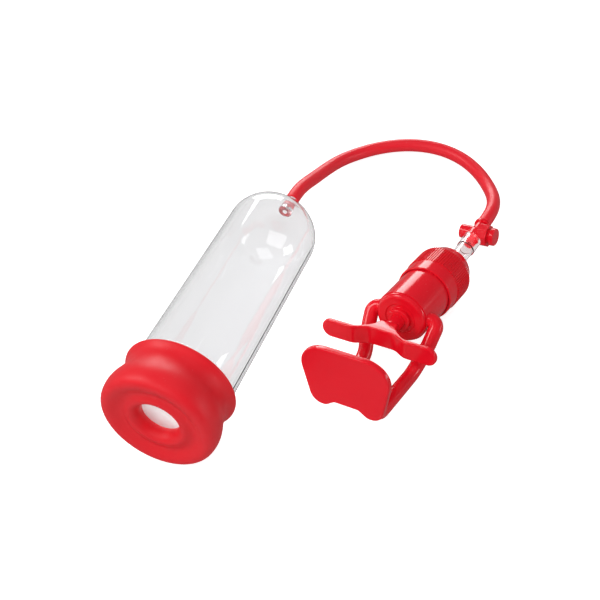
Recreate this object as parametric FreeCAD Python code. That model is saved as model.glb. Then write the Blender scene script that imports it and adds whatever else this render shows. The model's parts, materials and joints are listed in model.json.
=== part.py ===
"""Hand vacuum pump with a clear domed cylinder, a soft mouth sleeve, a hose and a release valve.

Squeezing the finger bar towards the palm pad draws the piston back against its spring. All sizes are
millimetres. +Z is up, the floor is z = 0, and the domed cylinder lies along +Y with its mouth at -Y.
"""

import FreeCAD, Part

import math
import os

os.makedirs("parts", exist_ok=True)

App = FreeCAD
V = App.Vector
X, Y, Z = V(1, 0, 0), V(0, 1, 0), V(0, 0, 1)

# ---- Fits and gaps ----
RUNNING = 0.05          # radial clearance of a shaft that slides in its bush or a seal in its bore
FREE = 0.4              # radial gap between moving pieces that don't guide each other

# ---- Springs ----
COIL_SIDES = 6
COIL_ROUND = 0.97       # corner radius of the route, as a share of the coil's mean radius

# ---- Where the two halves lie on the floor ----
CYLINDER_X = -52.2      # the cylinder's axis
MOUTH_Y = -129.70       # the front of the sleeve's throat
PUMP_X, PUMP_Y = 56.0, 31.60    # the pump's axis at the lip of its cap
PUMP_HEADING = 12.6     # degrees, from +Y towards +X, of the valve end
PUMP_TILT = 9.5         # degrees, valve end down
PUMP_ROLL = 11.3        # degrees, right side up

# ---- Clear cylinder (its own frame: +Z from the mouth to the dome) ----
CYLINDER_R = 30.0
CYLINDER_WALL = 2.0
CYLINDER_START = 12.0   # where the open end sits in the sleeve
DOME_START = 170.0
DOME_RISE = 27.0
STOP_RING = 1.5         # how far the ring behind the sleeve stands out
STOP_RING_W = 3.0
BOSS_R = 4.8            # the moulded boss at the apex
BOSS_LENGTH = 8.0
NIPPLE_SEAT = 5.0       # depth of the fitting's seat in the boss
AIRWAY_R = 1.6          # every air passage on the way to the pump

# ---- Soft sleeve on the mouth ----
SLEEVE_R = CYLINDER_R + 5.4     # its bulged rim
SLEEVE_LIP_R = CYLINDER_R + 4.4
SLEEVE_WAIST_R = CYLINDER_R + 2.6
SLEEVE_END = CYLINDER_START + 21.0
SLEEVE_FACE = -0.2      # the front of the rim, which the dished face stands behind
BULGE_Z = 10.0          # where the rim rests on the floor
THROAT_R = 12.3
THROAT_START = 5.4
THROAT_LENGTH = 4.4
HUMP_R = THROAT_R + 4.7         # the low ring round the throat
DISH_R = THROAT_R + 8.7         # the bottom of the dish, outside that ring
POCKET_R = CYLINDER_R - 4.0     # the room between the throat and the cylinder's open end

# ---- Hose ----
HOSE_R = 4.75
HOSE_BORE_R = 2.6
BARB_LENGTH = 11.0
BARB_ROOT_R = 2.2
BARB_FLANGE = 3.0
BARB_SEAT_R = 3.2
TOOTH_RISE = 0.15       # how far a barb's tooth stands past the hose's bore
TOOTH_LENGTH = 2.6

# ---- Pump (its own frame: +Z towards the palm pad, +X right, +Y up, z = 0 at the cap's lip) ----
CAP_R = 18.6
CAP_SKIRT = 27.0
CAP_TOP_R = 14.9
CAP_SHOULDER = 10.5
CAP_END_WALL = 3.0
CAP_TOP_EDGE = 1.5      # height of the rounded rim round the cap's flat end
CAP_THREAD_GAP = 0.8    # radial gap between the skirt and the thread
RIB_START, RIB_END = 10.5, 27.5
RIB_HEIGHT = 0.6
RIB_COUNT = 76
SPIGOT_R = 4.1
SPIGOT_LENGTH = 8.0

BARREL_R = 17.1
BORE_R = 14.2
BARREL_FRONT = 32.2
FRONT_WALL = 4.0
THREAD_R = 16.6
THREAD_RINGS = 4
THREAD_PITCH = 4.5
THREAD_DEPTH = 0.5
SHOULDER_Z = -0.6       # where the barrel steps down to its thread
NECK_R = 7.5
NECK_LENGTH = 2.6
NECK_GROOVE = 0.7       # depth of the groove round the neck

GASKET_T = 1.5

ROD_R = 4.9
BUSH_WALL = 1.4
BUSH_FLANGE = 2.0
BUSH_FLANGE_T = 1.2
TIP_R = ROD_R - 1.0     # the rod's stepped end, inside the piston
TIP_COVER = 3.0         # piston wall left in front of the tip
SCREW_R = 1.2
SCREW_HEAD_R = 2.8
SCREW_HEAD_T = 1.5
SCREW_LENGTH = 9.0
PISTON_Z = -22.0        # the piston's valve-side face with the bar at rest
PISTON_T = 8.0
STROKE = 25.0
SEAL_T = 3.0
SEAL_DEPTH = 2.2
SEAL_LIP = 0.6          # how far the seal's edges stand back from the bore

SPRING_WIRE_R = 0.6
SPRING_MEAN_R = 8.0
SPRING_TURNS = 8
WASHER_T = 1.0

BAR_LENGTH = 77.0
BAR_WIDTH = 12.2
BAR_T = 3.0
BAR_RECESS = 4.5        # how far its middle stands back towards the barrel
WING_ROOT = 17.0        # where the wings leave the recess
FLARE_LENGTH = 11.0
FLARE_SPREAD = 2.8      # how far the rod flares where it meets the bar

PAD_Z = 99.0            # the palm side of the pad
PAD_T = 4.2
PAD_HALF_WIDTH = 30.5
PAD_TOP, PAD_BOTTOM, PAD_NOTCH = 15.6, -25.2, -21.2
PULLED_GAP = 9.3        # left between the bar and the pad when the bar is pulled home
BAR_Z = PAD_Z - PAD_T - PULLED_GAP - STROKE     # the pad side of the bar's two wings
ARM_R = 4.6
ARM_SPREAD = 21.6       # the arms' elbows, from the axis
ARM_DROP = 23.0         # how far the arms pass below the axis
ARM_FOOT_Y = -24.0      # the lowest point of the arms' centre line, behind the pad's lobes
ARM_FOOT_DEPTH = 4.2    # from the pad's palm side to the arms' centre line
ARM_ROOT_Z = 25.0
ARM_SOCKET = 2.0        # depth of the arm's seat in the barrel wall

# ---- Check valve in the cap ----
BALL_R = 2.3
BALL_LIFT = 1.2
CAGE_T = 1.2
CAGE_R = 5.0
CAGE_HOLE_R = 0.8
CAGE_HOLES = 6

# ---- Clear coupling tube and release valve (valve frame: +Z back to the pump, +X along the button) ----
COUPLING_R = 5.7
COUPLING_WALL = 1.55
SOCKET_R = 6.3
SOCKET_LENGTH = 13.0
COUPLING_STRAIGHT = 9.0
COUPLING_ARC = 20.0
COUPLING_BEND = 9.5     # degrees, upwards
VALVE_REACH = 12.4      # from the end of the bend to the valve's centre
VALVE_ROLL = 1.5        # degrees, button end up
BODY_SHOULDER = 1.0     # the valve's shoulder past the cross tube, where the coupling ends
STUB_R = 4.8
STUB_END = -10.4
BLOCK_START, BLOCK_END = 2.4, 9.4
BLOCK_ACROSS = 14.2
BUTTON_R = 6.0
BUTTON_END = 14.3
BUTTON_GAP = 1.7
BUTTON_TRAVEL = 1.5
CROSS_BORE_R = 2.6
COUNTERBORE_R = 4.6
COUNTERBORE_FLOOR = 3.0
STEM_R = 1.1
SEAL_HALF = 0.8         # half the thickness of the stem's seal
STEM_DEPTH = 2.0        # how far the stem ends below the button's face
PLUG_HEAD = 0.8
PLUG_DEPTH = 2.5
VENT_R = 0.6
VALVE_SPRING_WIRE_R = 0.3
VALVE_SPRING_LENGTH = 4.2
FERRULE_R = 5.6
FERRULE_T = 2.5
FERRULE_GRIP = 2.0      # how deep the ferrule reaches into the valve's neck
HOSE_STEP = 11.0        # from the valve's centre to the hose's end

HOSE_LEAD = 10.0        # how far the hose runs straight out of each fitting
ARC_SHARE = 0.45        # how much of the shorter run each arc of the hose takes

# The hose between its two straight leads, laid by hand
HOSE_ROUTE = [
    (-51.2, 101.15, 25.7),
    (-49.7, 115.85, 20.3),
    (-47.8, 131.25, 15.5),
    (-45.4, 146.15, 11.1),
    (-41.2, 159.95, 7.6),
    (-34.0, 172.45, 5.4),
    (-24.0, 183.45, 4.75),
    (-11.5, 192.25, 4.75),
    (2.2, 198.25, 4.75),
    (16.8, 200.75, 4.75),
    (31.5, 198.95, 4.75),
    (45.0, 192.95, 4.75),
    (57.2, 182.95, 4.75),
    (67.3, 169.55, 5.5),
    (74.1, 154.95, 8.5),
    (76.7, 140.95, 12.0),
]


# ---- Drawing helpers ----

def rounded_edges(corners, closed=False):
    """Straight runs through corners (point, radius), with a tangent arc of that radius at each corner."""
    count = len(corners)
    edges = []
    last = None
    for i, (point, radius) in enumerate(corners):
        if not closed and i in (0, count - 1):
            start = end = point
            arc = None
        else:
            before = corners[i - 1][0]
            after = corners[(i + 1) % count][0]
            into = (point - before).normalize()
            out = (after - point).normalize()
            turn = into.getAngle(out)
            if radius < 1e-6 or turn < 1e-6:
                start = end = point
                arc = None
            else:
                reach = radius * math.tan(turn / 2)
                start, end = point - into * reach, point + out * reach
                inward = (out - into).normalize()
                middle = point + inward * (radius / math.cos(turn / 2) - radius)
                arc = Part.Arc(start, middle, end).toShape()
        if last is None:
            first = start
        elif (start - last).Length > 1e-6:
            edges.append(Part.LineSegment(last, start).toShape())
        if arc:
            edges.append(arc)
        last = end
    if closed and (first - last).Length > 1e-6:
        edges.append(Part.LineSegment(last, first).toShape())
    return edges


def turned(*corners):
    """A solid of revolution about Z from a closed outline of (radius, z[, fillet]) corners."""
    points = [(V(c[0], 0, c[1]), c[2] if len(c) > 2 else 0) for c in corners]
    return Part.Face(Part.Wire(rounded_edges(points, closed=True))).revolve(V(), Z, 360)


def rod(radius, start, end, axis=Z, at=V()):
    """A round bar along an axis, from one station to another."""
    low, high = min(start, end), max(start, end)
    return Part.makeCylinder(radius, high - low, at + axis * low, axis)


def tube(outer, inner, start, end, axis=Z, at=V()):
    return rod(outer, start, end, axis, at).cut(rod(inner, start - 1, end + 1, axis, at))


def extruded(corners, depth):
    """A prism from a closed outline of (point, fillet) corners."""
    return Part.Face(Part.Wire(rounded_edges(corners, closed=True))).extrude(depth)


def swept(path, radius, start, direction):
    """A round bar carried along a path of tangent lines and arcs."""
    ring = Part.Wire(Part.makeCircle(radius, start, direction))
    return Part.Wire(path).makePipeShell([ring], True, True)


def coil(wire_r, mean_r, turns, start, length):
    """An open spring along Z: a six-sided rising route with its corners rounded nearly to a circle."""
    sides = round(turns * COIL_SIDES)
    rise = (length - 2 * wire_r) / sides
    outer = mean_r / math.cos(math.pi / COIL_SIDES)

    def station(side, radius):
        angle = 2 * math.pi * side / COIL_SIDES
        return V(radius * math.cos(angle), radius * math.sin(angle), start + wire_r + rise * side)

    corners = [(station(0, mean_r), 0)]
    corners += [(station(i + 0.5, outer), COIL_ROUND * mean_r) for i in range(sides)]
    corners += [(station(sides, mean_r), 0)]
    return one_solid(swept(rounded_edges(corners), wire_r, corners[0][0], corners[1][0] - corners[0][0]))


def one_solid(shape):
    """The single solid of a boolean's result, with its split faces joined."""
    joined = shape.removeSplitter()
    if len(joined.Solids) != 1:
        raise ValueError("expected one solid, got %d" % len(joined.Solids))
    return joined.Solids[0]


# ---- Frames ----

def cylinder_placement():
    """The cylinder rests on the sleeve's bulge and on the dome's end."""
    tilt = math.asin((SLEEVE_R - CYLINDER_R) / (DOME_START - BULGE_Z))
    turn = App.Rotation(X, -90 - math.degrees(tilt))
    height = SLEEVE_R * math.cos(tilt) + BULGE_Z * math.sin(tilt)
    return App.Placement(V(CYLINDER_X, MOUTH_Y, height), turn)


def pump_rotation():
    heading = App.Rotation(Z, -PUMP_HEADING)
    tilt = App.Rotation(X, -PUMP_TILT)
    roll = App.Rotation(Y, -PUMP_ROLL)
    to_pad = App.Rotation(X, 90)
    return heading * tilt * roll * to_pad


def valve_in_pump():
    """The release valve, at the end of the coupling tube's upward bend."""
    bend = math.radians(COUPLING_BEND)
    radius = COUPLING_ARC / bend
    z = cap_end() - COUPLING_STRAIGHT - radius * math.sin(bend) - VALVE_REACH * math.cos(bend)
    y = radius * (1 - math.cos(bend)) + VALVE_REACH * math.sin(bend)
    return App.Placement(V(0, y, z), App.Rotation(X, COUPLING_BEND) * App.Rotation(Z, VALVE_ROLL))


def cap_end():
    return -(CAP_SKIRT + CAP_SHOULDER)


# ---- Cylinder half ----

def dome_outline(radius, rise, start):
    """A quarter ellipse from the wall at start to the axis."""
    if rise > radius:
        ellipse = Part.Ellipse(V(0, 0, start + rise), V(radius, 0, start), V(0, 0, start))
        return Part.ArcOfEllipse(ellipse, -math.pi / 2, 0).toShape()
    ellipse = Part.Ellipse(V(radius, 0, start), V(0, 0, start + rise), V(0, 0, start))
    return Part.ArcOfEllipse(ellipse, 0, math.pi / 2).toShape()


def domed(radius, rise, start, dome_start):
    """A round-ended solid from start to the top of its dome."""
    arc = dome_outline(radius, rise, dome_start)
    top = V(0, 0, dome_start + rise)
    corners = [top, V(0, 0, start), V(radius, 0, start), V(radius, 0, dome_start)]
    lines = [Part.LineSegment(a, b).toShape() for a, b in zip(corners, corners[1:])]
    return Part.Face(Part.Wire(Part.__sortEdges__(lines + [arc]))).revolve(V(), Z, 360)


def clear_cylinder():
    inner_r = CYLINDER_R - CYLINDER_WALL
    apex = DOME_START + DOME_RISE
    shell = domed(CYLINDER_R, DOME_RISE, CYLINDER_START, DOME_START)
    ring_z = SLEEVE_END + 0.6
    ring = turned((CYLINDER_R - 1, ring_z), (CYLINDER_R + STOP_RING, ring_z, 0.7),
                  (CYLINDER_R + STOP_RING, ring_z + STOP_RING_W, 0.7), (CYLINDER_R - 1, ring_z + STOP_RING_W))
    boss = turned((0, apex - 4), (BOSS_R + 3, apex - 4), (BOSS_R, apex - 0.5, 2.5),
                  (BOSS_R, apex + BOSS_LENGTH, 0.6), (0, apex + BOSS_LENGTH))
    hollow = domed(inner_r, DOME_RISE - CYLINDER_WALL, CYLINDER_START - 1, DOME_START)
    seat = rod(BARB_SEAT_R, apex + BOSS_LENGTH - NIPPLE_SEAT, apex + BOSS_LENGTH + 1)
    airway = rod(AIRWAY_R, apex - 6, apex + BOSS_LENGTH)
    return one_solid(shell.fuse([ring, boss]).cut(hollow).cut(seat).cut(airway))


def apex_nipple():
    """The barbed fitting bonded in the dome's boss."""
    seat_end = DOME_START + DOME_RISE + BOSS_LENGTH
    flange_end = seat_end + BARB_FLANGE
    seat_start = seat_end - NIPPLE_SEAT
    body = turned((0, seat_start), (BARB_SEAT_R, seat_start), (BARB_SEAT_R, seat_end),
                  (BOSS_R, seat_end, 0.4), (BOSS_R, flange_end, 0.4), (BARB_ROOT_R, flange_end),
                  *barb_outline(flange_end, 1), (0, flange_end + BARB_LENGTH))
    return one_solid(body.cut(rod(AIRWAY_R, seat_start - 1, flange_end + BARB_LENGTH + 1)))


def barb_outline(start, way):
    """Two teeth that rise to just over the hose's bore, from start along +Z or -Z."""
    corners = []
    for tooth in (0.25, 0.6):
        z = start + way * BARB_LENGTH * tooth
        corners += [(BARB_ROOT_R, z), (HOSE_BORE_R + TOOTH_RISE, z), (BARB_ROOT_R, z + way * TOOTH_LENGTH)]
    return corners + [(BARB_ROOT_R, start + way * BARB_LENGTH)]


def soft_sleeve():
    """A ring with a bulged rim, a dished front and a funnel down to its throat."""
    return turned(
        (CYLINDER_R, SLEEVE_END), (SLEEVE_LIP_R, SLEEVE_END, 0.7), (SLEEVE_WAIST_R, SLEEVE_END - 9.0, 12.0),
        (SLEEVE_R, BULGE_Z + 4.5, 9.0), (SLEEVE_R, SLEEVE_FACE, 9.5), (DISH_R + 2.0, SLEEVE_FACE + 0.9, 3.0),
        (DISH_R, SLEEVE_FACE + 3.2, 4.0), (HUMP_R, SLEEVE_FACE + 1.2, 3.2), (THROAT_R, THROAT_START, 1.4),
        (THROAT_R, THROAT_START + THROAT_LENGTH), (POCKET_R, THROAT_START + THROAT_LENGTH, 1.0),
        (POCKET_R, CYLINDER_START), (CYLINDER_R, CYLINDER_START))


# ---- Pump half ----

def pump_cap():
    """The screw cap: skirt over the barrel, ribbed grip, rounded top and a spigot for the coupling."""
    skirt_r = THREAD_R + CAP_THREAD_GAP
    end = cap_end()
    spigot_end = end - SPIGOT_LENGTH
    shoulder = end + CAP_TOP_EDGE
    ball_room = ball_z() + BALL_LIFT + BALL_R
    inner_end = -CAP_SKIRT
    outside = turned(
        (0, 0), (CAP_R, 0, 0.5), (CAP_R, -CAP_SKIRT, 9.0), (CAP_TOP_R, shoulder, 2.0),
        (CAP_TOP_R - 2.5, end, CAP_TOP_EDGE), (SPIGOT_R, end), (SPIGOT_R, spigot_end, 0.5), (0, spigot_end))
    inside = turned(
        (0, 1), (skirt_r, 1), (skirt_r, inner_end), (CAGE_R + 1.0, inner_end - 1.0),
        (CAGE_R, inner_end - 1.0),
        (CAGE_R, ball_room), (BALL_R + FREE, ball_room), (BALL_R + FREE, ball_z()),
        (AIRWAY_R, ball_z() - BALL_R), (AIRWAY_R, spigot_end - 1), (0, spigot_end - 1))
    ribs = rib_ring().common(turned(
        (CAP_R - 1, -RIB_START), (CAP_R + RIB_HEIGHT, -RIB_START), (CAP_R + RIB_HEIGHT, -CAP_SKIRT, 9.0),
        (CAP_TOP_R + RIB_HEIGHT, shoulder), (CAP_TOP_R - 1, shoulder)))
    return one_solid(outside.fuse(ribs).cut(inside))


def rib_ring():
    """A prism whose outline is a ring of shallow teeth."""
    step = 2 * math.pi / RIB_COUNT
    outer, inner = CAP_R + RIB_HEIGHT + 0.1, CAP_R - 0.15
    corners = []
    for i in range(RIB_COUNT):
        for share, radius in ((-0.3, inner), (-0.12, outer), (0.12, outer), (0.3, inner)):
            angle = (i + share) * step
            corners.append((V(radius * math.cos(angle), radius * math.sin(angle), -RIB_END), 0))
    return extruded(corners, V(0, 0, RIB_END - RIB_START))


def cap_gasket():
    """A flat ring squeezed between the barrel's end and the cap."""
    return tube(THREAD_R + CAP_THREAD_GAP - 0.2, BORE_R, -CAP_SKIRT, -CAP_SKIRT + GASKET_T)


def ball_z():
    """The check ball's centre on its seat, inside the cap's end."""
    return -CAP_SKIRT - CAP_END_WALL - BALL_LIFT - BALL_R


def check_ball():
    return Part.makeSphere(BALL_R, V(0, 0, ball_z()))


def ball_cage():
    """A perforated disc that keeps the ball near its seat and lets air past."""
    start = ball_z() + BALL_LIFT + BALL_R
    disc = rod(CAGE_R, start, start + CAGE_T)
    reach = CAGE_R - CAGE_HOLE_R - 1.0
    angles = [2 * math.pi * i / CAGE_HOLES for i in range(CAGE_HOLES)]
    centres = [V(reach * math.cos(a), reach * math.sin(a), 0) for a in angles]
    holes = [rod(CAGE_HOLE_R, start - 1, start + CAGE_T + 1, at=centre) for centre in centres]
    return one_solid(disc.cut(Part.makeCompound(holes)))


def arm_sockets():
    """The two round seats in the barrel's sides that take the yoke's arms."""
    seat = BARREL_R - ARM_SOCKET
    return [rod(ARM_R, seat, BARREL_R + 3, V(side, 0, 0), V(0, 0, ARM_ROOT_Z)) for side in (-1, 1)]


def pump_barrel():
    """The pump's cylinder: a threaded end, a round-edged front wall and a grooved neck for the rod's bush."""
    front = BARREL_FRONT
    end = -CAP_SKIRT + GASKET_T
    groove = front - NECK_GROOVE
    rim_start = front - 3.2
    core_r = THREAD_R - THREAD_DEPTH
    body = turned(
        (BORE_R, end), (core_r, end, 0.3), (core_r, SHOULDER_Z), (BARREL_R, SHOULDER_Z, 0.2),
        (BARREL_R, rim_start), (BARREL_R - 0.5, rim_start), (BARREL_R - 0.5, front, 2.7),
        (NECK_R + 2.6, front, 0.8),
        (NECK_R + 2.2, groove, 0.5), (NECK_R, groove, 0.4), (NECK_R, front + NECK_LENGTH, 1.0),
        (bush_r(), front + NECK_LENGTH), (bush_r(), front - FRONT_WALL), (BORE_R, front - FRONT_WALL))
    first = SHOULDER_Z - 3.4
    rings = [thread_ring(first - THREAD_PITCH * i) for i in range(THREAD_RINGS)]
    return one_solid(body.fuse(rings).cut(arm_sockets()))


def thread_ring(z):
    """One round of the thread, drawn as a plain ring with sloped flanks."""
    root_r = THREAD_R - THREAD_DEPTH - 0.1
    return turned((root_r, z - 0.7), (THREAD_R, z - 0.3), (THREAD_R, z + 0.3), (root_r, z + 0.7))


def bush_r():
    return ROD_R + BUSH_WALL


def rod_bush():
    """The bearing in the barrel's neck, with a flange inside the front wall."""
    inner = BARREL_FRONT - FRONT_WALL
    flange = inner - BUSH_FLANGE_T
    end = BARREL_FRONT + NECK_LENGTH
    bore_r = ROD_R + RUNNING
    return turned((bore_r, flange), (bush_r() + BUSH_FLANGE, flange), (bush_r() + BUSH_FLANGE, inner),
                  (bush_r(), inner), (bush_r(), end), (bore_r, end))


def spring_washer():
    """The steel ring that the return spring bears on."""
    start = spring_end()
    return tube(SPRING_MEAN_R + 2, ROD_R + FREE, start, start + WASHER_T)


def spring_end():
    return BARREL_FRONT - FRONT_WALL - BUSH_FLANGE_T - WASHER_T


def return_spring():
    start = PISTON_Z + PISTON_T
    return coil(SPRING_WIRE_R, SPRING_MEAN_R, SPRING_TURNS, start, spring_end() - start)


def piston():
    """A disc with a seal groove, bored for the rod's tip and for its screw."""
    start, end = PISTON_Z, PISTON_Z + PISTON_T
    groove = (PISTON_T - SEAL_T) / 2
    wide, deep = BORE_R - FREE, BORE_R - FREE - SEAL_DEPTH
    body = turned(
        (0, start), (wide, start, 0.5), (wide, start + groove), (deep, start + groove), (deep, end - groove),
        (wide, end - groove), (wide, end, 0.5), (0, end))
    tip_hole = rod(TIP_R, start + TIP_COVER, end + 1)
    screw_hole = rod(SCREW_R, start - 1, end)
    head_hole = rod(SCREW_HEAD_R + 0.2, start - 1, start + SCREW_HEAD_T)
    return one_solid(body.cut([tip_hole, screw_hole, head_hole]))


def piston_seal():
    """A ring with a lip that flares towards the valve side."""
    groove = (PISTON_T - SEAL_T) / 2
    start, end = PISTON_Z + groove, PISTON_Z + PISTON_T - groove
    deep = BORE_R - FREE - SEAL_DEPTH
    edge_r, lip_r = BORE_R - SEAL_LIP, BORE_R - RUNNING
    return turned((deep, start), (edge_r, start), (lip_r, start + 0.8, 0.2), (lip_r, end - 1.2, 0.2),
                  (edge_r, end), (deep, end))


def piston_screw():
    """A slotted screw from the valve side, through the piston into the rod's tip."""
    under = PISTON_Z + SCREW_HEAD_T
    screw = turned((0, PISTON_Z), (SCREW_HEAD_R, PISTON_Z, 0.3), (SCREW_HEAD_R, under), (SCREW_R, under),
                   (SCREW_R, under + SCREW_LENGTH), (0, under + SCREW_LENGTH))
    slot = Part.makeBox(3 * SCREW_HEAD_R, 0.8, 0.7, V(-1.5 * SCREW_HEAD_R, -0.4, PISTON_Z - 0.1))
    return one_solid(screw.cut(slot))


def plunger():
    """The rod and its gull-winged finger bar, moulded in one."""
    bar_back = BAR_Z - BAR_RECESS - BAR_T
    blank = bar_plan(bar_back).common(bar_front(bar_back)).common(bar_side(bar_back))
    long_edges = [e for e in blank.Edges if e.BoundBox.ZMin > bar_back - 0.2 and e.Length > 5]
    bar = eased(blank, long_edges, 0.9)
    shank = rod(ROD_R, PISTON_Z + PISTON_T, bar_back - 2)
    tip = rod(TIP_R, PISTON_Z + TIP_COVER, PISTON_Z + PISTON_T)
    screw_hole = rod(SCREW_R, PISTON_Z, PISTON_Z + SCREW_HEAD_T + SCREW_LENGTH)
    return one_solid(bar.fuse([shank, tip]).cut(screw_hole))


def bar_plan(back):
    """The bar seen from above: two wings, a recessed middle, and the rod's flare behind it."""
    half = BAR_LENGTH / 2
    wing_back = BAR_Z - BAR_T
    recess = BAR_Z - BAR_RECESS
    right = [
        (WING_ROOT - 8.0, recess, 10), (WING_ROOT, BAR_Z, 10), (half, BAR_Z, 0), (half, wing_back, 0),
        (WING_ROOT - 1.0, wing_back, 8), (ROD_R + FLARE_SPREAD, back - 1.6, 9),
        (ROD_R, back - FLARE_LENGTH, 2)]
    left = [(-x, z, r) for x, z, r in reversed(right)]
    return extruded([(V(x, -BAR_WIDTH, z), r) for x, z, r in right + left], Y * 2 * BAR_WIDTH)


def bar_front(back):
    """The bar seen along the rod: a slot shape with round ends."""
    half, side = BAR_LENGTH / 2, BAR_WIDTH / 2
    corners = [(half, -side), (half, side), (-half, side), (-half, -side)]
    start = back - FLARE_LENGTH - 1
    return extruded([(V(x, y, start), side - 0.01) for x, y in corners], Z * (BAR_Z + 1 - start))


def bar_side(back):
    """The bar seen from its end: full width at the bar, narrowing to the rod."""
    side = BAR_WIDTH / 2
    right = [(side, BAR_Z + 1, 0), (side, back - 0.5, 6), (ROD_R, back - FLARE_LENGTH, 4)]
    outline = right + [(-y, z, r) for y, z, r in reversed(right)]
    start = -BAR_LENGTH / 2 - 1
    return extruded([(V(start, y, z), r) for y, z, r in outline], X * (BAR_LENGTH + 2))


def eased(shape, edges, radius):
    """Edges rounded where the kernel can, with the radius halved until it fits."""
    while radius > 0.1:
        try:
            result = shape.makeFillet(radius, edges)
            if result.isValid() and result.Volume > 0:
                return result
        except Part.OCCError:
            pass
        radius /= 2
    return shape


def pad_plate():
    """A palm plate with a broad round top, two lower lobes and a notch between them."""
    right = [(17.0, PAD_TOP, 20.0), (PAD_HALF_WIDTH + 0.8, 9.0, 13.0), (23.0, PAD_BOTTOM, 8.5),
             (14.0, PAD_BOTTOM, 5.0), (8.0, PAD_NOTCH, 4.0)]
    outline = right + [(-x, y, r) for x, y, r in reversed(right)]
    plate = extruded([(V(x, y, PAD_Z - PAD_T), r) for x, y, r in outline], Z * PAD_T)
    rims = [e for e in plate.Edges if e.BoundBox.ZLength < 0.01]
    return eased(plate, rims, 2.2)


def arm_path(side):
    """An arm: out of the barrel's side, forward and down, then along to the pad and up behind it."""
    seat = BARREL_R - ARM_SOCKET
    foot_z = PAD_Z - ARM_FOOT_DEPTH
    points = [(seat, 0, ARM_ROOT_Z, 0), (ARM_SPREAD + 1.2, 0, ARM_ROOT_Z, 4.9),
              (ARM_SPREAD - 0.6, -11.0, ARM_ROOT_Z + 10.0, 12.0),
              (17.0, -ARM_DROP - 1.6, ARM_ROOT_Z + 22.5, 14.0),
              (18.0, ARM_FOOT_Y, foot_z - 0.4, 6.5), (18.4, -9.0, foot_z + 0.8, 0)]
    return [(V(side * x, y, z), r) for x, y, z, r in points]


def palm_yoke():
    """The palm pad and its two arms; the arms' feet stop just under the pad's palm face."""
    plate = pad_plate()
    arms = []
    for side in (-1, 1):
        corners = arm_path(side)
        start = corners[0][0]
        arms.append(swept(rounded_edges(corners), ARM_R, start, corners[1][0] - start))
        tip = corners[-1][0]
        arms.append(Part.makeSphere(ARM_R - 1.2, tip - Z))
    room = 2 * PAD_Z
    behind = Part.makeBox(room, room, room, V(-room / 2, -room / 2, PAD_Z - 0.4 - room))
    return one_solid(plate.fuse([arm.common(behind) for arm in arms]))


# ---- Coupling, valve and hose ----

def coupling_path(start):
    """The coupling's centre line in the pump frame, from a station on the pump's axis to the valve."""
    place = valve_in_pump()
    bend = math.radians(COUPLING_BEND)
    reach = COUPLING_ARC / bend * math.tan(bend / 2)
    corner = V(0, 0, cap_end() - COUPLING_STRAIGHT - reach)
    end = place.multVec(V(0, 0, STUB_R + BODY_SHOULDER))
    return [(V(0, 0, start), 0), (corner, COUPLING_ARC / bend), (end, 0)]


def coupling_tube():
    """A clear tube from the cap to the valve, with a thicker socket notched to clear the valve's block."""
    start = cap_end()
    corners = coupling_path(start)
    outer = swept(rounded_edges(corners), COUPLING_R, corners[0][0], -Z)
    near, far = STUB_R + BODY_SHOULDER, STUB_R + SOCKET_LENGTH
    socket = turned((0, near), (SOCKET_R, near, 0.5), (SOCKET_R, far, 1.0), (COUPLING_R - 0.5, far + 1.5),
                    (0, far + 1.5))
    gap = 0.2
    notch = Part.makeBox(BLOCK_END, 4 * SOCKET_R, BLOCK_ACROSS,
                         V(BLOCK_START - gap, -2 * SOCKET_R, gap - BLOCK_ACROSS / 2))
    place = valve_in_pump()
    bore_corners = coupling_path(start + 1)
    bore_corners[-1] = (place.multVec(V(0, 0, STUB_R)), 0)
    bore = swept(rounded_edges(bore_corners), COUPLING_R - COUPLING_WALL, bore_corners[0][0], -Z)
    return one_solid(outer.fuse(placed(socket, place)).cut([bore, placed(notch, place)]))


def valve_body():
    """A cross tube with an eight-sided block, a spigot to the coupling and a barb for the hose."""
    stub = rod(STUB_R, STUB_END, BLOCK_START + 1, X)
    half = BLOCK_ACROSS / 2
    corner_r = half / math.cos(math.pi / 8)
    angles = [math.pi * (2 * i + 1) / 8 for i in range(8)]
    ring = [V(BLOCK_START, corner_r * math.cos(a), corner_r * math.sin(a)) for a in angles]
    block = extruded([(point, 0.8) for point in ring], X * (BLOCK_END - BLOCK_START))
    spigot_end = STUB_R + SPIGOT_LENGTH
    to_pump = rod(SPIGOT_R, 0, spigot_end)
    shoulder = rod(SOCKET_R - 0.6, 0, STUB_R + BODY_SHOULDER)
    neck_end = -HOSE_STEP + FERRULE_T
    barb_end = -HOSE_STEP - BARB_LENGTH
    neck = turned((0, 0), (neck_r(), 0), (neck_r(), neck_end), (BARB_ROOT_R, neck_end),
                  (BARB_ROOT_R, -HOSE_STEP), *barb_outline(-HOSE_STEP, -1), (0, barb_end))
    airway = rod(AIRWAY_R, barb_end - 1, spigot_end + 1)
    cross = rod(CROSS_BORE_R, STUB_END - 1, BLOCK_END + 1, X)
    counterbore = rod(COUNTERBORE_R, COUNTERBORE_FLOOR, BLOCK_END + 1, X)
    return one_solid(stub.fuse([block, to_pump, shoulder, neck]).cut([airway, cross, counterbore]))


def neck_r():
    """The valve's neck on the hose side."""
    return SPIGOT_R + 0.3


def along_x(shape):
    """A shape drawn along Z, laid along the valve's cross bore."""
    return placed(shape, App.Placement(V(), App.Rotation(Y, 90)))


def valve_end_plug():
    """The vented plug in the stub's open end."""
    head, foot = STUB_END - PLUG_HEAD, STUB_END + PLUG_DEPTH
    plug = turned((0, head), (STUB_R, head, 0.4), (STUB_R, STUB_END), (CROSS_BORE_R, STUB_END),
                  (CROSS_BORE_R, foot), (0, foot))
    return along_x(one_solid(plug.cut(rod(VENT_R, head - 1, foot + 1))))


def button_start():
    return BLOCK_END + BUTTON_GAP


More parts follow.
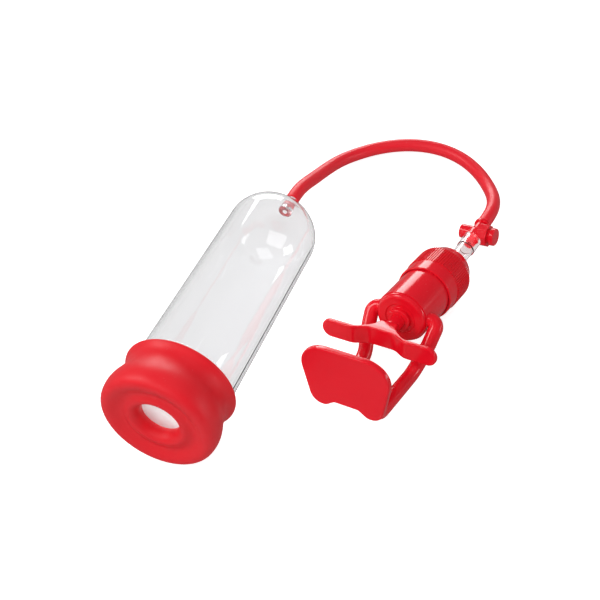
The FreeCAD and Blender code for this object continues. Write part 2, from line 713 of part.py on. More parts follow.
def release_button():
    """A push button whose neck runs in the block's counterbore."""
    neck_start = COUNTERBORE_FLOOR + VALVE_SPRING_LENGTH
    guide_r = COUNTERBORE_R - RUNNING
    stem_end = BUTTON_END - STEM_DEPTH
    return along_x(turned(
        (STEM_R, neck_start), (guide_r, neck_start, 0.2), (guide_r, button_start()),
        (BUTTON_R, button_start(), 0.4), (BUTTON_R, BUTTON_END, 0.7), (0, BUTTON_END), (0, stem_end),
        (STEM_R, stem_end)))


def valve_stem():
    """The pin from the button through the airway to its seal."""
    return rod(STEM_R, seal_x() - SEAL_HALF, BUTTON_END - STEM_DEPTH, X)


def seal_x():
    """The seal closes the vented end of the cross bore at rest."""
    return STUB_END + PLUG_DEPTH + BUTTON_TRAVEL + 1.3


def valve_seal():
    """The rubber disc on the stem's end."""
    outer = CROSS_BORE_R - RUNNING
    start, end = seal_x() - SEAL_HALF, seal_x() + SEAL_HALF
    seal = turned((STEM_R, start), (outer, start, 0.4), (outer, end, 0.4), (STEM_R, end))
    return along_x(seal)


def valve_spring():
    """Returns the button; it stands on the counterbore's floor."""
    mean_r = CROSS_BORE_R + VALVE_SPRING_WIRE_R + FREE
    return along_x(coil(VALVE_SPRING_WIRE_R, mean_r, 3.5, COUNTERBORE_FLOOR, VALVE_SPRING_LENGTH))


def hose_ferrule():
    """The collar that closes the joint between the hose and the valve's neck."""
    start, end = -HOSE_STEP, -HOSE_STEP + FERRULE_T
    inner = neck_r() - FERRULE_GRIP
    return turned((inner, start), (FERRULE_R, start, 0.6), (FERRULE_R, end, 0.6), (inner, end))


def hose_corners(cylinder, valve):
    """The route with its straight leads, and each corner's radius from the shorter run beside it."""
    start = cylinder.multVec(V(0, 0, hose_start()))
    end = valve.multVec(V(0, 0, -HOSE_STEP))
    leave = cylinder.Rotation.multVec(Z) * HOSE_LEAD
    arrive = valve.Rotation.multVec(-Z) * HOSE_LEAD
    points = [start, start + leave] + [V(*p) for p in HOSE_ROUTE] + [end + arrive, end]
    corners = [(start, 0)]
    for before, point, after in zip(points, points[1:], points[2:]):
        into, out = point - before, after - point
        radius = ARC_SHARE * min(into.Length, out.Length) / math.tan(into.getAngle(out) / 2)
        corners.append((point, radius))
    return corners + [(end, 0)]


def hose_start():
    return DOME_START + DOME_RISE + BOSS_LENGTH + BARB_FLANGE


def hose(cylinder, valve):
    corners = hose_corners(cylinder, valve)
    path = rounded_edges(corners)
    start = corners[0][0]
    direction = corners[1][0] - start
    length = sum(edge.Length for edge in path)
    runs = [(b[0] - a[0]).Length for a, b in zip(corners, corners[1:])]
    solid = one_solid(swept(path, HOSE_R, start, direction).cut(swept(path, HOSE_BORE_R, start, direction)))
    print("hose length %.1f, volume over section times length %.4f" % (
        length, solid.Volume / (math.pi * (HOSE_R ** 2 - HOSE_BORE_R ** 2) * length)))
    print("hose radii", [round(radius) for _, radius in corners[1:-1]])
    print("hose runs", [round(run, 1) for run in runs])
    return solid


# ---- Assembly ----

def build():
    """Every node's solid in the row frame, and the three frames that the record is written from."""
    cylinder = cylinder_placement()
    local_pump = {
        "pump_cap": pump_cap(), "cap_gasket": cap_gasket(), "check_ball": check_ball(),
        "ball_cage": ball_cage(),
        "pump_barrel": pump_barrel(), "rod_bush": rod_bush(), "spring_washer": spring_washer(),
        "return_spring": return_spring(), "piston": piston(), "piston_seal": piston_seal(),
        "piston_screw": piston_screw(), "plunger": plunger(), "palm_yoke": palm_yoke(),
        "coupling_tube": coupling_tube(),
    }
    in_valve = {
        "valve_body": valve_body(), "valve_end_plug": valve_end_plug(), "release_button": release_button(),
        "valve_stem": valve_stem(), "valve_seal": valve_seal(), "valve_spring": valve_spring(),
        "hose_ferrule": hose_ferrule(),
    }
    turn = pump_rotation()
    lowest = min(placed(local_pump[name], App.Placement(V(), turn)).optimalBoundingBox(False).ZMin
                 for name in ("pump_cap", "palm_yoke"))
    pump = App.Placement(V(PUMP_X, PUMP_Y, -lowest), turn)
    valve = pump * valve_in_pump()
    nodes = {
        "soft_sleeve": placed(soft_sleeve(), cylinder),
        "clear_cylinder": placed(clear_cylinder(), cylinder),
        "apex_nipple": placed(apex_nipple(), cylinder),
        "hose": hose(cylinder, valve),
    }
    nodes.update({name: placed(shape, pump) for name, shape in local_pump.items()})
    nodes.update({name: placed(shape, valve) for name, shape in in_valve.items()})
    return nodes, {"cylinder": cylinder, "pump": pump, "valve": valve}


def placed(shape, placement):
    moved = shape.copy()
    moved.Placement = placement * moved.Placement
    return moved


def centred(nodes, frames):
    """The origin goes below the middle of everything but the hose."""
    box = App.BoundBox()
    for name, shape in nodes.items():
        if name != "hose":
            box.add(shape.optimalBoundingBox(False))
    shift = App.Placement(V(-box.Center.x, -box.Center.y, -box.ZMin), App.Rotation())
    print("middle before centring %.3f %.3f, lowest %.3f, size %.1f %.1f %.1f" % (
        box.Center.x, box.Center.y, box.ZMin, box.XLength, box.YLength, box.ZLength))
    return ({name: placed(shape, shift) for name, shape in nodes.items()},
            {name: shift * frame for name, frame in frames.items()})


NODES, FRAMES = centred(*build())
for node, solid in NODES.items():
    if not solid.isValid():
        raise ValueError(node + " is not a valid solid")
    solid.exportStep("parts/%s.step" % node)
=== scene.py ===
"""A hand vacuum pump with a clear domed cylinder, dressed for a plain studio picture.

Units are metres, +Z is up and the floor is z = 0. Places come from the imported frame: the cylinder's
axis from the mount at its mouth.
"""

import json
import math

import bmesh
import bpy
import numpy as np
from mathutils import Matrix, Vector


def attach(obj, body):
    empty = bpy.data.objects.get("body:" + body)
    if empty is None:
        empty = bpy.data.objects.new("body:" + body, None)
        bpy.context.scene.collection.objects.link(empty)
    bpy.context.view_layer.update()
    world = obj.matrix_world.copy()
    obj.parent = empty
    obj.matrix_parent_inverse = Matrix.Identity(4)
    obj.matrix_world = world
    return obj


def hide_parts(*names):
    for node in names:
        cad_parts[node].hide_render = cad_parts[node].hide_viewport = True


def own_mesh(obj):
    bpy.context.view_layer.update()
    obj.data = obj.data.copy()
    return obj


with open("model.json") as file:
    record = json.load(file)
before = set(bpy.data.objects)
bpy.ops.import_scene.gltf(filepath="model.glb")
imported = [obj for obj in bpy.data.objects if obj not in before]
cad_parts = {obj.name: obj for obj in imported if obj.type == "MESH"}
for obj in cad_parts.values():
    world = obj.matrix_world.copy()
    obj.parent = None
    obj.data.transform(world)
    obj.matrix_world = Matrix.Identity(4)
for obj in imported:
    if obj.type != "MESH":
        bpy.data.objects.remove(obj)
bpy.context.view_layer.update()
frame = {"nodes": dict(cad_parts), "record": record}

MM = 0.001
NODES = frame["nodes"]
FIXED_BODY = "pump_and_cylinder"


# ---- Camera: high in front of the mouth, looking down across both halves ----

CAMERA_AT = (0.13803, -0.40507, 0.48276)
CAMERA_DOWN = math.radians(46.79)
CAMERA_TURN = math.radians(20.82)
LENS_MM = 60.0
SENSOR_MM = 36.0
CLIP_START = 0.01


def add_camera():
    data = bpy.data.cameras.new("camera")
    data.lens = LENS_MM
    data.sensor_width = SENSOR_MM
    data.clip_start = CLIP_START
    camera = bpy.data.objects.new("camera", data)
    camera.location = CAMERA_AT
    camera.rotation_euler = (math.pi / 2 - CAMERA_DOWN, 0, CAMERA_TURN)
    bpy.context.scene.collection.objects.link(camera)
    bpy.context.scene.camera = camera


# ---- Frame of the cylinder ----

def frame_at(origin, z_axis):
    """A 4x4 frame at origin: z along z_axis, and x as near the world's +X as it can be."""
    z = np.asarray(z_axis, float)
    z = z / np.linalg.norm(z)
    x = np.array([1.0, 0.0, 0.0]) - z[0] * z
    x = x / np.linalg.norm(x)
    matrix = np.eye(4)
    matrix[:3, :3] = np.stack([x, np.cross(z, x), z], axis=1)
    matrix[:3, 3] = origin
    return matrix


def named(rows, name):
    return next(row for row in rows if row["name"] == name)


BORE_MIDDLE = 8.3 * MM      # from the front of the throat to the middle of its bore


def cylinder_frame():
    """Origin at the front of the sleeve's throat, z towards the dome."""
    mouth = named(frame["record"]["mounts"], "sleeve_mouth")
    inward = -np.array(mouth["axis"])
    return frame_at(np.array(mouth["pos_m"]) - inward * BORE_MIDDLE, inward)


# ---- Meshes from numpy grids ----

def grid_faces(rows, columns, rows_wrap, columns_wrap):
    """Quads of a grid of points; a wrapped direction joins its last line to its first."""
    i = np.arange(rows if rows_wrap else rows - 1)[:, None]
    j = np.arange(columns if columns_wrap else columns - 1)[None, :]
    next_i, next_j = (i + 1) % rows, (j + 1) % columns
    corners = [i * columns + j, i * columns + next_j, next_i * columns + next_j, next_i * columns + j]
    return np.stack(np.broadcast_arrays(*corners), axis=-1).reshape(-1, 4)


def mesh_piece(name, points, faces):
    """A smooth object from an array of points and an array of quads."""
    mesh = bpy.data.meshes.new(name)
    mesh.vertices.add(len(points))
    mesh.vertices.foreach_set("co", points.astype(np.float32).ravel())
    mesh.loops.add(faces.size)
    mesh.loops.foreach_set("vertex_index", faces.astype(np.int32).ravel())
    mesh.polygons.add(len(faces))
    mesh.polygons.foreach_set("loop_start", np.arange(0, faces.size, 4, dtype=np.int32))
    mesh.polygons.foreach_set("use_smooth", np.ones(len(faces), bool))
    mesh.update(calc_edges=True)
    mesh.validate()
    piece = bpy.data.objects.new(name, mesh)
    bpy.context.scene.collection.objects.link(piece)
    return piece


def close_ends(piece):
    """Fill the open rings of a tube with flat faces."""
    work = bmesh.new()
    work.from_mesh(piece.data)
    bmesh.ops.edgeloop_fill(work, edges=[edge for edge in work.edges if edge.is_boundary])
    work.to_mesh(piece.data)
    work.free()


def soft_outline(controls, steps):
    """A closed uniform cubic B-spline round control points.

    A point is the sum of its four neighbours, each weighted by a cubic of the share u, over 6.
    """
    controls = np.asarray(controls, float)
    count = len(controls)
    t = np.arange(count * steps) / steps
    i = t.astype(int)
    u = (t - i)[:, None]
    weights = [(1 - u) ** 3, 3 * u ** 3 - 6 * u ** 2 + 4, -3 * u ** 3 + 3 * u ** 2 + 3 * u + 1, u ** 3]
    return sum(w * controls[(i + k - 1) % count] for k, w in enumerate(weights)) / 6


TURNED_SEGMENTS = 220


def turned_piece(name, outline, place):
    """A closed outline of (radius, height) turned about the frame's z.

    x = r cos a, y = r sin a, z = height.
    """
    angle = np.linspace(0, 2 * math.pi, TURNED_SEGMENTS, endpoint=False)
    radius, height = outline[:, 0:1], outline[:, 1:2]
    grid = np.stack([radius * np.cos(angle), radius * np.sin(angle), height + 0 * angle], axis=-1)
    points = grid.reshape(-1, 3) @ place[:3, :3].T + place[:3, 3]
    return mesh_piece(name, points, grid_faces(len(outline), TURNED_SEGMENTS, True, True))


# ---- Soft sleeve on the cylinder's mouth ----

SLEEVE_STEPS = 6
# Radius and distance from the front of the throat, round the section from the rear lip
SLEEVE_CONTROLS_MM = [
    (30.1, 33.1), (30.1, 33.1), (30.1, 33.1), (33.4, 33.3), (34.9, 33.1), (34.6, 31.6), (32.8, 28.8),
    (32.2, 25.2), (32.5, 21.6), (33.5, 17.9), (34.9, 14.2), (35.7, 10.0), (35.5, 5.6), (34.4, 2.0),
    (32.0, 0.1), (29.0, 0.1), (26.0, 1.5), (23.0, 3.3), (20.4, 3.0), (18.2, 1.6), (15.8, 1.4), (13.6, 3.2),
    (12.2, 6.4), (12.2, 9.0), (12.4, 9.9), (13.5, 9.9), (26.0, 9.9), (26.0, 9.9), (26.0, 12.0), (26.0, 12.0),
    (30.1, 12.0), (30.1, 12.0), (30.1, 12.0), (30.1, 22.0)]


def soft_sleeve_skin():
    """The sleeve as one turned outline: rear lip, shallow waist, round rim, dished front and throat."""
    outline = soft_outline(SLEEVE_CONTROLS_MM, SLEEVE_STEPS)[::-1] * MM
    skin = turned_piece("soft_sleeve_skin", outline, cylinder_frame())
    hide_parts("soft_sleeve")
    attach(skin, FIXED_BODY)
    return skin


# ---- Marks on the clear cylinder ----

CYLINDER_R = 30.0 * MM
BORE_R = 28.0 * MM
FROST_START, FROST_END = 12.3 * MM, 32.8 * MM
FROST_T = 0.15 * MM
SKIN = 0.02 * MM            # how far a mark's hidden side stands off or sinks into the wall
TICK_START = 42.0 * MM
TICK_STEP = 5.0 * MM
TICK_COUNT = 25
TICK_HEIGHT = 0.12 * MM
TICK_HALF_WIDTH = 0.22 * MM
TICK_CROWN = 0.6            # a tick's width at its top, as a share of its foot
TICK_MIDDLE = math.radians(44)
TICK_SPANS = [math.radians(angle) for angle in (10, 5, 5, 5, 5)]
TICK_SIDES = 6


def frosted_band():
    """A thin pale band on the inside of the cylinder, over the stretch that the sleeve covers outside."""
    outer, inner = BORE_R - SKIN, BORE_R - FROST_T
    outline = np.array([(outer, FROST_START), (outer, FROST_END),
                        (inner, FROST_END), (inner, FROST_START)])
    band = turned_piece("frosted_band", outline, cylinder_frame())
    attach(band, FIXED_BODY)
    return band


def tick_marks():
    """Plain raised ticks every 5 mm on the cylinder's right side, every fifth one longer."""
    place = cylinder_frame()
    section = [(-SKIN, -1), (TICK_HEIGHT, -TICK_CROWN), (TICK_HEIGHT, TICK_CROWN), (-SKIN, 1)]
    points, faces = [], []
    for k in range(TICK_COUNT):
        half_span = TICK_SPANS[k % len(TICK_SPANS)] / 2
        faces.append(len(points) + grid_faces(TICK_SIDES, len(section), False, True))
        for angle in np.linspace(TICK_MIDDLE - half_span, TICK_MIDDLE + half_span, TICK_SIDES):
            for rise, share in section:
                reach = CYLINDER_R + rise
                along = TICK_START + k * TICK_STEP + share * TICK_HALF_WIDTH
                points.append((reach * math.sin(angle), reach * math.cos(angle), along))
    grid = np.array(points) @ place[:3, :3].T + place[:3, 3]
    ticks = mesh_piece("tick_marks", grid, np.concatenate(faces)[:, ::-1])
    close_ends(ticks)
    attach(ticks, FIXED_BODY)
    return ticks


# ---- Hose: one NURBS line through the route, with a tube carried along it ----

HOSE_R = 4.75 * MM
HOSE_LINE_STEPS = 14
HOSE_SIDES = 40
# Control points from the cylinder's nipple to the valve body's barb
HOSE_ROUTE_MM = [
    (-52.19, 78.18, 28.81), (-52.19, 88.18, 28.47), (-51.2, 101.15, 25.81), (-49.7, 115.85, 20.41),
    (-47.8, 131.25, 15.61), (-45.4, 146.15, 11.21), (-41.2, 159.95, 7.71), (-34.0, 172.45, 5.51),
    (-24.0, 183.45, 4.86), (-11.5, 192.25, 4.86), (2.2, 198.25, 4.86), (16.8, 200.75, 4.86),
    (31.5, 198.95, 4.86), (45.0, 192.95, 4.86), (57.2, 182.95, 4.86), (67.3, 169.55, 5.61),
    (74.1, 154.95, 8.61), (76.7, 140.95, 12.11), (76.26, 128.67, 13.87), (74.4, 118.84, 13.9)]


def hose_line():
    """The points of a smooth NURBS line with the route as its control points."""
    curve = bpy.data.curves.new("hose_line", "CURVE")
    curve.dimensions = "3D"
    curve.resolution_u = HOSE_LINE_STEPS
    spline = curve.splines.new("NURBS")
    spline.points.add(len(HOSE_ROUTE_MM) - 1)
    for point, place in zip(spline.points, HOSE_ROUTE_MM):
        point.co = (*(value * MM for value in place), 1)
    spline.order_u = 3
    spline.use_endpoint_u = True
    holder = bpy.data.objects.new("hose_line", curve)
    bpy.context.scene.collection.objects.link(holder)
    mesh = bpy.data.meshes.new_from_object(holder)
    points = np.empty(len(mesh.vertices) * 3)
    mesh.vertices.foreach_get("co", points)
    bpy.data.objects.remove(holder)
    bpy.data.meshes.remove(mesh)
    return points.reshape(-1, 3)


def tube_along(line, radius, sides):
    """Rings of points about a line. Each ring lies across the line and turns with it, without twist."""
    ahead = np.gradient(line, axis=0)
    ahead /= np.linalg.norm(ahead, axis=1)[:, None]
    side = np.empty_like(line)
    side[0] = np.cross(ahead[0], (0, 0, 1))
    for k in range(1, len(line)):
        side[k] = side[k - 1] - ahead[k] * (side[k - 1] @ ahead[k])
    side /= np.linalg.norm(side, axis=1)[:, None]
    over = np.cross(ahead, side)
    angle = np.linspace(0, 2 * math.pi, sides, endpoint=False)[None, :, None]
    return line[:, None] + radius * (np.cos(angle) * side[:, None] + np.sin(angle) * over[:, None])


def hose_tube():
    """The hose as one closed tube along the line."""
    line = hose_line()
    rings = tube_along(line, HOSE_R, HOSE_SIDES)
    faces = grid_faces(len(rings), HOSE_SIDES, False, True)
    hose = mesh_piece("hose_tube", rings.reshape(-1, 3), faces[:, ::-1])
    close_ends(hose)
    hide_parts("hose")
    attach(hose, FIXED_BODY)
    return hose


# ---- Copies of the springs ----


def shortening_spring(name):
    """A copy of a spring with its own mesh, riding the fixed body in place of the hidden node."""
    source = NODES[name]
    mesh = source.data.copy()
    mesh.transform(source.matrix_world)
    piece = bpy.data.objects.new(name + "_coil", mesh)
    bpy.context.scene.collection.objects.link(piece)
    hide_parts(name)
    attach(piece, FIXED_BODY)
    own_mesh(piece)
    return piece


# ---- Shader node groups ----

def new_group(name, inputs, outputs):
    """An empty shader group with named sockets: inputs are (name, kind, value), outputs (name, kind)."""
    group = bpy.data.node_groups.new(name, "ShaderNodeTree")
    for label, kind, value in inputs:
        socket = group.interface.new_socket(name=label, in_out="INPUT", socket_type="NodeSocket" + kind)
        socket.default_value = value
    for label, kind in outputs:
        group.interface.new_socket(name=label, in_out="OUTPUT", socket_type="NodeSocket" + kind)
    return group, group.nodes.new("NodeGroupInput"), group.nodes.new("NodeGroupOutput")


def node(tree, kind, values=None, **settings):
    """A node with its settings, and with values or links put into its inputs by name or number."""
    made = tree.nodes.new("ShaderNode" + kind)
    for key, value in settings.items():
        setattr(made, key, value)
    for key, value in (values or {}).items():
        if isinstance(value, bpy.types.NodeSocket):
            tree.links.new(value, made.inputs[key])
        else:
            made.inputs[key].default_value = value
    return made


def maths(tree, operation, *values):
    return node(tree, "Math", dict(enumerate(values)), operation=operation).outputs[0]


def noise(tree, place, scale, detail, roughness=0.5):
    return node(tree, "TexNoise", {"Vector": place, "Scale": scale, "Detail": detail,
                                   "Roughness": roughness}).outputs[0]


def mapped(tree, value, ends, low=0.0, high=1.0):
    """A value carried from the range `ends` to the range low to high, and held inside it."""
    return node(tree, "MapRange", {0: value, 1: ends[0], 2: ends[1], 3: low, 4: high}).outputs[0]


def blended(tree, share, first, second):
    """The first colour, turning into the second as the share goes from 0 to 1."""
    return node(tree, "Mix", {0: share, 6: first, 7: second}, data_type="RGBA").outputs[2]


# Scales are noise waves per metre. A range is where a mask starts and where it is full.
RUB_SCALE, RUB_DETAIL, RUB_ROUGHNESS = 140.0, 6.0, 0.7
RUB_RANGE = (0.35, 0.75)
PROUD_RANGE = (0.53, 0.62)
PATCH_SCALE = 260.0
PATCH_RANGE = (0.4, 0.65)
PATCH_LEAST = 0.25
WORN_ROUGHNESS = 0.25
SPECK_SCALE = 900.0
SPECK_RANGE = (0.66, 0.74)
FACING_UP_RANGE = (0.3, 1.0)


def colour_drift_group():
    """The base colour, a little darker or lighter in slow patches."""
    group, start, end = new_group(
        "colour drift",
        [("Colour", "Color", (1, 1, 1, 1)), ("Size", "Float", 0.02), ("Amount", "Float", 0.05)],
        [("Colour", "Color")])
    place = node(group, "TexCoord").outputs["Object"]
    patches = noise(group, place, maths(group, "DIVIDE", 1.0, start.outputs["Size"]), 3.0)
    centred = maths(group, "ADD", patches, -0.5)
    factor = maths(group, "MULTIPLY_ADD", centred, start.outputs["Amount"], 1.0)
    scaled = node(group, "VectorMath", {0: start.outputs["Colour"], "Scale": factor}, operation="SCALE")
    group.links.new(scaled.outputs[0], end.inputs["Colour"])
    return group


def moulded_skin_group():
    """Fine orange peel and slow sink as a height, and a roughness with faint rubbed patches."""
    group, start, end = new_group(
        "moulded skin",
        [("Peel Size", "Float", 0.0015), ("Sink Size", "Float", 0.012), ("Sink Share", "Float", 0.6),
         ("Roughness", "Float", 0.2), ("Rubbed", "Float", 0.05)],
        [("Height", "Float"), ("Roughness", "Float")])
    place = node(group, "TexCoord").outputs["Object"]
    peel = noise(group, place, maths(group, "DIVIDE", 1.0, start.outputs["Peel Size"]), 2.0)
    sink = noise(group, place, maths(group, "DIVIDE", 1.0, start.outputs["Sink Size"]), 1.0)
    height = node(group, "Mix", {0: start.outputs["Sink Share"], 2: peel, 3: sink}, data_type="FLOAT")
    rubbed = noise(group, place, RUB_SCALE, RUB_DETAIL, RUB_ROUGHNESS)
    spread = mapped(group, rubbed, RUB_RANGE, -1.0)
    rough = maths(group, "MULTIPLY_ADD", spread, start.outputs["Rubbed"], start.outputs["Roughness"])
    group.links.new(height.outputs[0], end.inputs["Height"])
    group.links.new(rough, end.inputs["Roughness"])
    return group


def edge_wear_group():
    """The colour, paler and drier where an edge stands proud and is handled."""
    group, start, end = new_group(
        "edge wear",
        [("Colour", "Color", (1, 1, 1, 1)), ("Worn Colour", "Color", (1, 1, 1, 1)),
         ("Amount", "Float", 0.3), ("Roughness", "Float", 0.2)],
        [("Colour", "Color"), ("Roughness", "Float")])
    edge = mapped(group, node(group, "NewGeometry").outputs["Pointiness"], PROUD_RANGE)
    place = node(group, "TexCoord").outputs["Object"]
    patch = mapped(group, noise(group, place, PATCH_SCALE, 4.0), PATCH_RANGE, PATCH_LEAST)
    mask = maths(group, "MULTIPLY", maths(group, "MULTIPLY", edge, patch), start.outputs["Amount"])
    colour = blended(group, mask, start.outputs["Colour"], start.outputs["Worn Colour"])
    rough = maths(group, "MULTIPLY_ADD", mask, WORN_ROUGHNESS, start.outputs["Roughness"])
    group.links.new(colour, end.inputs["Colour"])
    group.links.new(rough, end.inputs["Roughness"])
    return group


def dust_group():
    """A sparse mask of settled specks on the faces that look up."""
    group, start, end = new_group("dust", [("Amount", "Float", 0.1)], [("Mask", "Float")])
    place = node(group, "TexCoord").outputs["Object"]
    few = mapped(group, noise(group, place, SPECK_SCALE, 2.0), SPECK_RANGE)
    up = node(group, "SeparateXYZ", {0: node(group, "NewGeometry").outputs["Normal"]}).outputs["Z"]
    lying = mapped(group, up, FACING_UP_RANGE)
    mask = maths(group, "MULTIPLY", maths(group, "MULTIPLY", few, lying), start.outputs["Amount"])
    group.links.new(mask, end.inputs["Mask"])
    return group


COLOUR_DRIFT = colour_drift_group()
MOULDED_SKIN = moulded_skin_group()
EDGE_WEAR = edge_wear_group()
DUST = dust_group()


def placed_group(tree, group, values):
    return node(tree, "Group", values, node_tree=group)


def new_material(name):
    """A material whose output shows one Principled surface."""
    material = bpy.data.materials.new(name)
    material.use_nodes = True
    tree = material.node_tree
    tree.nodes.clear()
    surface = tree.nodes.new("ShaderNodeBsdfPrincipled")
    output = tree.nodes.new("ShaderNodeOutputMaterial")
    tree.links.new(surface.outputs[0], output.inputs["Surface"])
    return material, tree, surface


# ---- Finishes ----

DUST_COLOUR = (0.75, 0.70, 0.68, 1)
DUST_AMOUNT = 0.05
DRIFT_SIZE, DRIFT_AMOUNT = 0.018, 0.06
SINK_SIZE = 0.011
CLEAR_DRIFT_SIZE, CLEAR_DRIFT_AMOUNT = 0.03, 0.02
CLEAR_WAVE_SHARE = 0.85
CLEAR_PEEL_SHARE = 0.25         # the size of the fine waves, as a share of the slow ones
CLEAR_RUBBED = 0.015
LAMPLIGHT_LET_THROUGH = (0.93, 0.93, 0.94, 1)
STEEL_STREAK, STEEL_SINK, STEEL_SINK_SHARE, STEEL_RUBBED = 0.0004, 0.003, 0.2, 0.1
STEEL_DRIFT_SIZE, STEEL_DRIFT_AMOUNT = 0.004, 0.15


def drifting(tree, colour, size, amount):
    """The base colour with slow drift over patches of the given size."""
    values = {"Colour": (*colour, 1), "Size": size, "Amount": amount}
    return placed_group(tree, COLOUR_DRIFT, values).outputs[0]


def skin_of(tree, peel, sink, sink_share, roughness, rubbed):
    return placed_group(tree, MOULDED_SKIN, {"Peel Size": peel, "Sink Size": sink, "Sink Share": sink_share,
                                             "Roughness": roughness, "Rubbed": rubbed})


def dress(tree, surface, colour, roughness, height=None, depth=0.0):
    """Link a colour, a roughness and, where there is one, a bump of the given depth to a surface."""
    tree.links.new(colour, surface.inputs["Base Color"])
    tree.links.new(roughness, surface.inputs["Roughness"])
    if height is not None:
        bump = node(tree, "Bump", {"Height": height, "Distance": depth, "Strength": 1.0})
        tree.links.new(bump.outputs[0], surface.inputs["Normal"])


def moulded(name, colour, worn, roughness, rubbed, peel, peel_depth, sink_share, wear):
    """A moulded solid-colour finish: drifting colour, worn edges, dust, orange peel and rubbed gloss."""
    material, tree, surface = new_material(name)
    base = drifting(tree, colour, DRIFT_SIZE, DRIFT_AMOUNT)
    skin = skin_of(tree, peel, SINK_SIZE, sink_share, roughness, rubbed)
    edged = placed_group(tree, EDGE_WEAR, {"Colour": base, "Worn Colour": (*worn, 1), "Amount": wear,
                                           "Roughness": skin.outputs["Roughness"]})
    specks = placed_group(tree, DUST, {"Amount": DUST_AMOUNT})
    dusty = blended(tree, specks.outputs["Mask"], edged.outputs["Colour"], DUST_COLOUR)
    dress(tree, surface, dusty, edged.outputs["Roughness"], skin.outputs["Height"], peel_depth)
    return material


def clear_plastic(name, colour, roughness, ior, wave_size, wave_depth):
    """A clear wall with the slow waves of its moulding; light from lamps passes through it."""
    material, tree, surface = new_material(name)
    base = drifting(tree, colour, CLEAR_DRIFT_SIZE, CLEAR_DRIFT_AMOUNT)
    skin = skin_of(tree, wave_size * CLEAR_PEEL_SHARE, wave_size, CLEAR_WAVE_SHARE, roughness, CLEAR_RUBBED)
    dress(tree, surface, base, skin.outputs["Roughness"], skin.outputs["Height"], wave_depth)
    surface.inputs["IOR"].default_value = ior
    surface.inputs["Transmission Weight"].default_value = 1.0
    shadow_ray = node(tree, "LightPath").outputs["Is Shadow Ray"]
    see_through = node(tree, "BsdfTransparent", {0: LAMPLIGHT_LET_THROUGH})
    mixed = node(tree, "MixShader", {0: shadow_ray, 1: surface.outputs[0], 2: see_through.outputs[0]})
    output = next(n for n in tree.nodes if n.type == "OUTPUT_MATERIAL")
    tree.links.new(mixed.outputs[0], output.inputs["Surface"])
    return material


def drawn_steel(name, colour, roughness):
    """Drawn steel wire: grey metal with fine streaks in its roughness."""
    material, tree, surface = new_material(name)
    base = drifting(tree, colour, STEEL_DRIFT_SIZE, STEEL_DRIFT_AMOUNT)
    skin = skin_of(tree, STEEL_STREAK, STEEL_SINK, STEEL_SINK_SHARE, roughness, STEEL_RUBBED)
    dress(tree, surface, base, skin.outputs["Roughness"])
    surface.inputs["Metallic"].default_value = 1.0
    return material


RED, SOFT_RED, HOSE_RED = (0.80, 0.006, 0.018), (0.80, 0.006, 0.016), (0.84, 0.010, 0.024)
PALE_RED = (0.90, 0.10, 0.12)
CREAM, PALE_CREAM = (0.82, 0.80, 0.75), (0.9, 0.9, 0.88)
FROST, PALE_FROST = (0.9, 0.88, 0.88), (0.95, 0.95, 0.95)
BLACK, PALE_BLACK = (0.03, 0.03, 0.03), (0.12, 0.12, 0.12)
# The second clear colour, for the tube, has a faint pink tint: a painted reflection of the red parts around
# it.
CLEAR, CLEAR_PAINTED_RED_REFLECTION = (0.985, 0.985, 0.99), (0.98, 0.95, 0.95)
STEEL = (0.6, 0.6, 0.61)
MOULDED = [     # slot, colour, worn colour, roughness, rubbed, peel size, peel depth, sink share, wear
    ("gloss_red", RED, PALE_RED, 0.13, 0.03, 0.0018, 0.00001, 0.6, 0.15),
    ("soft_red", SOFT_RED, PALE_RED, 0.48, 0.05, 0.0006, 0.00001, 0.3, 0.05),
    ("hose_red", HOSE_RED, PALE_RED, 0.42, 0.05, 0.0005, 0.00001, 0.2, 0.05),
    ("pale_plastic", CREAM, PALE_CREAM, 0.35, 0.05, 0.0008, 0.00002, 0.6, 0.3),
    ("frosted", FROST, PALE_FROST, 0.6, 0.05, 0.0006, 0.00001, 0.6, 0.3),
    ("seal_rubber", BLACK, PALE_BLACK, 0.55, 0.05, 0.0004, 0.00002, 0.6, 0.3),
]
FINISHES = {row[0]: moulded(*row) for row in MOULDED}
FINISHES["clear_shell"] = clear_plastic("clear_shell", CLEAR, 0.02, 1.49, 0.02, 0.00002)
FINISHES["clear_tube"] = clear_plastic("clear_tube", CLEAR_PAINTED_RED_REFLECTION, 0.05, 1.45, 0.008, 0.00003)
FINISHES["spring_steel"] = drawn_steel("spring_steel", STEEL, 0.28)


def finish_piece(piece, name):
    piece.data.materials.clear()
    piece.data.materials.append(FINISHES[name])


def finish_cad_nodes():
    """Each carried-over node takes the finish of its slot in the record."""
    for row in frame["record"]["subparts"]:
        finish_piece(NODES[row["node"]], row["material_slot"])


# ---- Studio ----

FLOOR_HALF = 3.0
FLOOR_DROP = 0.0002
FLOOR_WHITE, FLOOR_MIRRORED = 0.7, 0.25     # the floor's colour, and its colour to reflections
FLOOR_GLOW = 0.05                           # light the floor gives off
FLOOR_GLOW_THROUGH = 0.62                   # the same, as seen through the clear walls
FLOOR_GLOW_SEEN = 0.8                       # the same, as the camera sees it
FLOOR_ROUGHNESS, FLOOR_SPECULAR = 0.9, 0.1
NO_OR_YES = (0, 1)


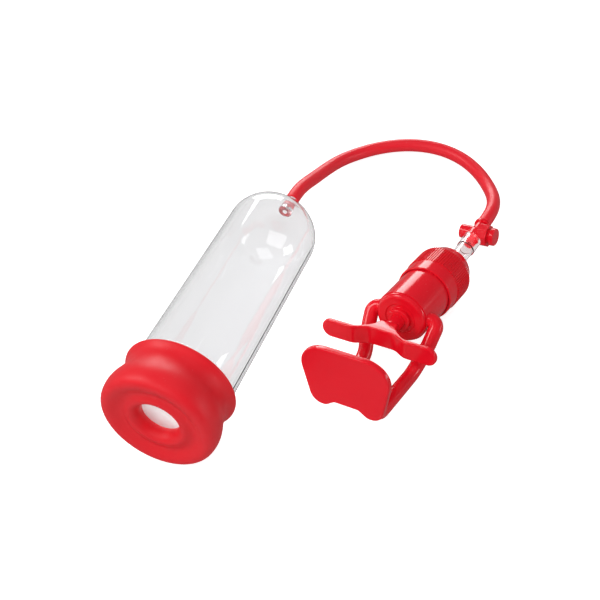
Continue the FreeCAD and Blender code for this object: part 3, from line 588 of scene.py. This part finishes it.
def add_floor():
    """A white floor that clips to the picture's white; reflections of it are kept dim."""
    corners = [(-1, -1), (1, -1), (1, 1), (-1, 1)]
    points = np.array([(x * FLOOR_HALF, y * FLOOR_HALF, -FLOOR_DROP) for x, y in corners])
    floor = mesh_piece("floor", points, np.array([[0, 1, 2, 3]]))
    material, tree, surface = new_material("pale_floor")
    ray = node(tree, "LightPath").outputs
    glow = mapped(tree, ray["Is Transmission Ray"], NO_OR_YES, FLOOR_GLOW, FLOOR_GLOW_THROUGH)
    glow = mapped(tree, ray["Is Camera Ray"], NO_OR_YES, glow, FLOOR_GLOW_SEEN)
    white = mapped(tree, ray["Is Glossy Ray"], NO_OR_YES, FLOOR_WHITE, FLOOR_MIRRORED)
    tree.links.new(white, surface.inputs["Base Color"])
    tree.links.new(glow, surface.inputs["Emission Strength"])
    surface.inputs["Emission Color"].default_value = (1, 1, 1, 1)
    surface.inputs["Roughness"].default_value = FLOOR_ROUGHNESS
    surface.inputs["Specular IOR Level"].default_value = FLOOR_SPECULAR
    floor.data.materials.append(material)


def add_softbox(name, at, target, size, radiance, mirrored):
    """A rectangular lamp given by the brightness of its face: power = radiance * pi * area."""
    data = bpy.data.lights.new(name, "AREA")
    data.shape = "RECTANGLE"
    data.size, data.size_y = size
    data.energy = radiance * math.pi * size[0] * size[1]
    lamp = bpy.data.objects.new(name, data)
    lamp.location = at
    lamp.rotation_euler = (Vector(target) - Vector(at)).to_track_quat("-Z", "Y").to_euler()
    lamp.visible_glossy = mirrored
    bpy.context.scene.collection.objects.link(lamp)


SKY_LEVEL = 0.16
SKY_THROUGH = 0.8
HORIZON_LEVEL = 0.35
HORIZON_RANGE = (0.05, 0.35)    # how far up the room's light falls off


def add_sky():
    """A dim room, a little brighter towards the horizon, and a pale one through the clear walls."""
    world = bpy.data.worlds.new("room")
    bpy.context.scene.world = world
    world.use_nodes = True
    tree = world.node_tree
    tree.nodes.clear()
    place = node(tree, "TexCoord").outputs["Generated"]
    height = node(tree, "SeparateXYZ", {0: place}).outputs["Z"]
    level = mapped(tree, height, HORIZON_RANGE, HORIZON_LEVEL, SKY_LEVEL)
    through = node(tree, "LightPath").outputs["Is Transmission Ray"]
    seen = mapped(tree, through, NO_OR_YES, level, SKY_THROUGH)
    sky = node(tree, "Background", {0: (1, 1, 1, 1), 1: seen})
    output = tree.nodes.new("ShaderNodeOutputWorld")
    tree.links.new(sky.outputs[0], output.inputs[0])


LAMPS = [       # name, place, target, size, radiance, mirrored by the piece
    ("front", (-0.15, -1.0, 1.0), (0, 0.03, 0.02), (1.3, 1.1), 2.5, False),
    ("back left", (-0.52, 1.12, 0.32), (0.05, 0, 0.02), (0.75, 0.44), 5.5, True),
    ("top left", (-0.85, -0.25, 0.78), (0, 0, 0.02), (0.5, 0.5), 5.0, True),
    ("over", (0.25, 0.25, 1.3), (0, 0.03, 0.02), (0.9, 0.9), 1.6, False),
    ("right", (1.2, 0.35, 0.30), (0, 0.03, 0.03), (0.9, 0.25), 3.0, True),
]


def add_studio():
    """The floor, the room and the lamps, with whites left as they are rendered."""
    add_floor()
    add_sky()
    for row in LAMPS:
        add_softbox(*row)
    bpy.context.scene.view_settings.view_transform = "Standard"


# ---- Assembly ----


add_camera()
hose = hose_tube()
sleeve = soft_sleeve_skin()
finish_cad_nodes()
finish_piece(hose, "hose_red")
finish_piece(sleeve, "soft_red")
finish_piece(frosted_band(), "frosted")
finish_piece(tick_marks(), "frosted")
finish_piece(shortening_spring("return_spring"), "spring_steel")
finish_piece(shortening_spring("valve_spring"), "spring_steel")
add_studio()
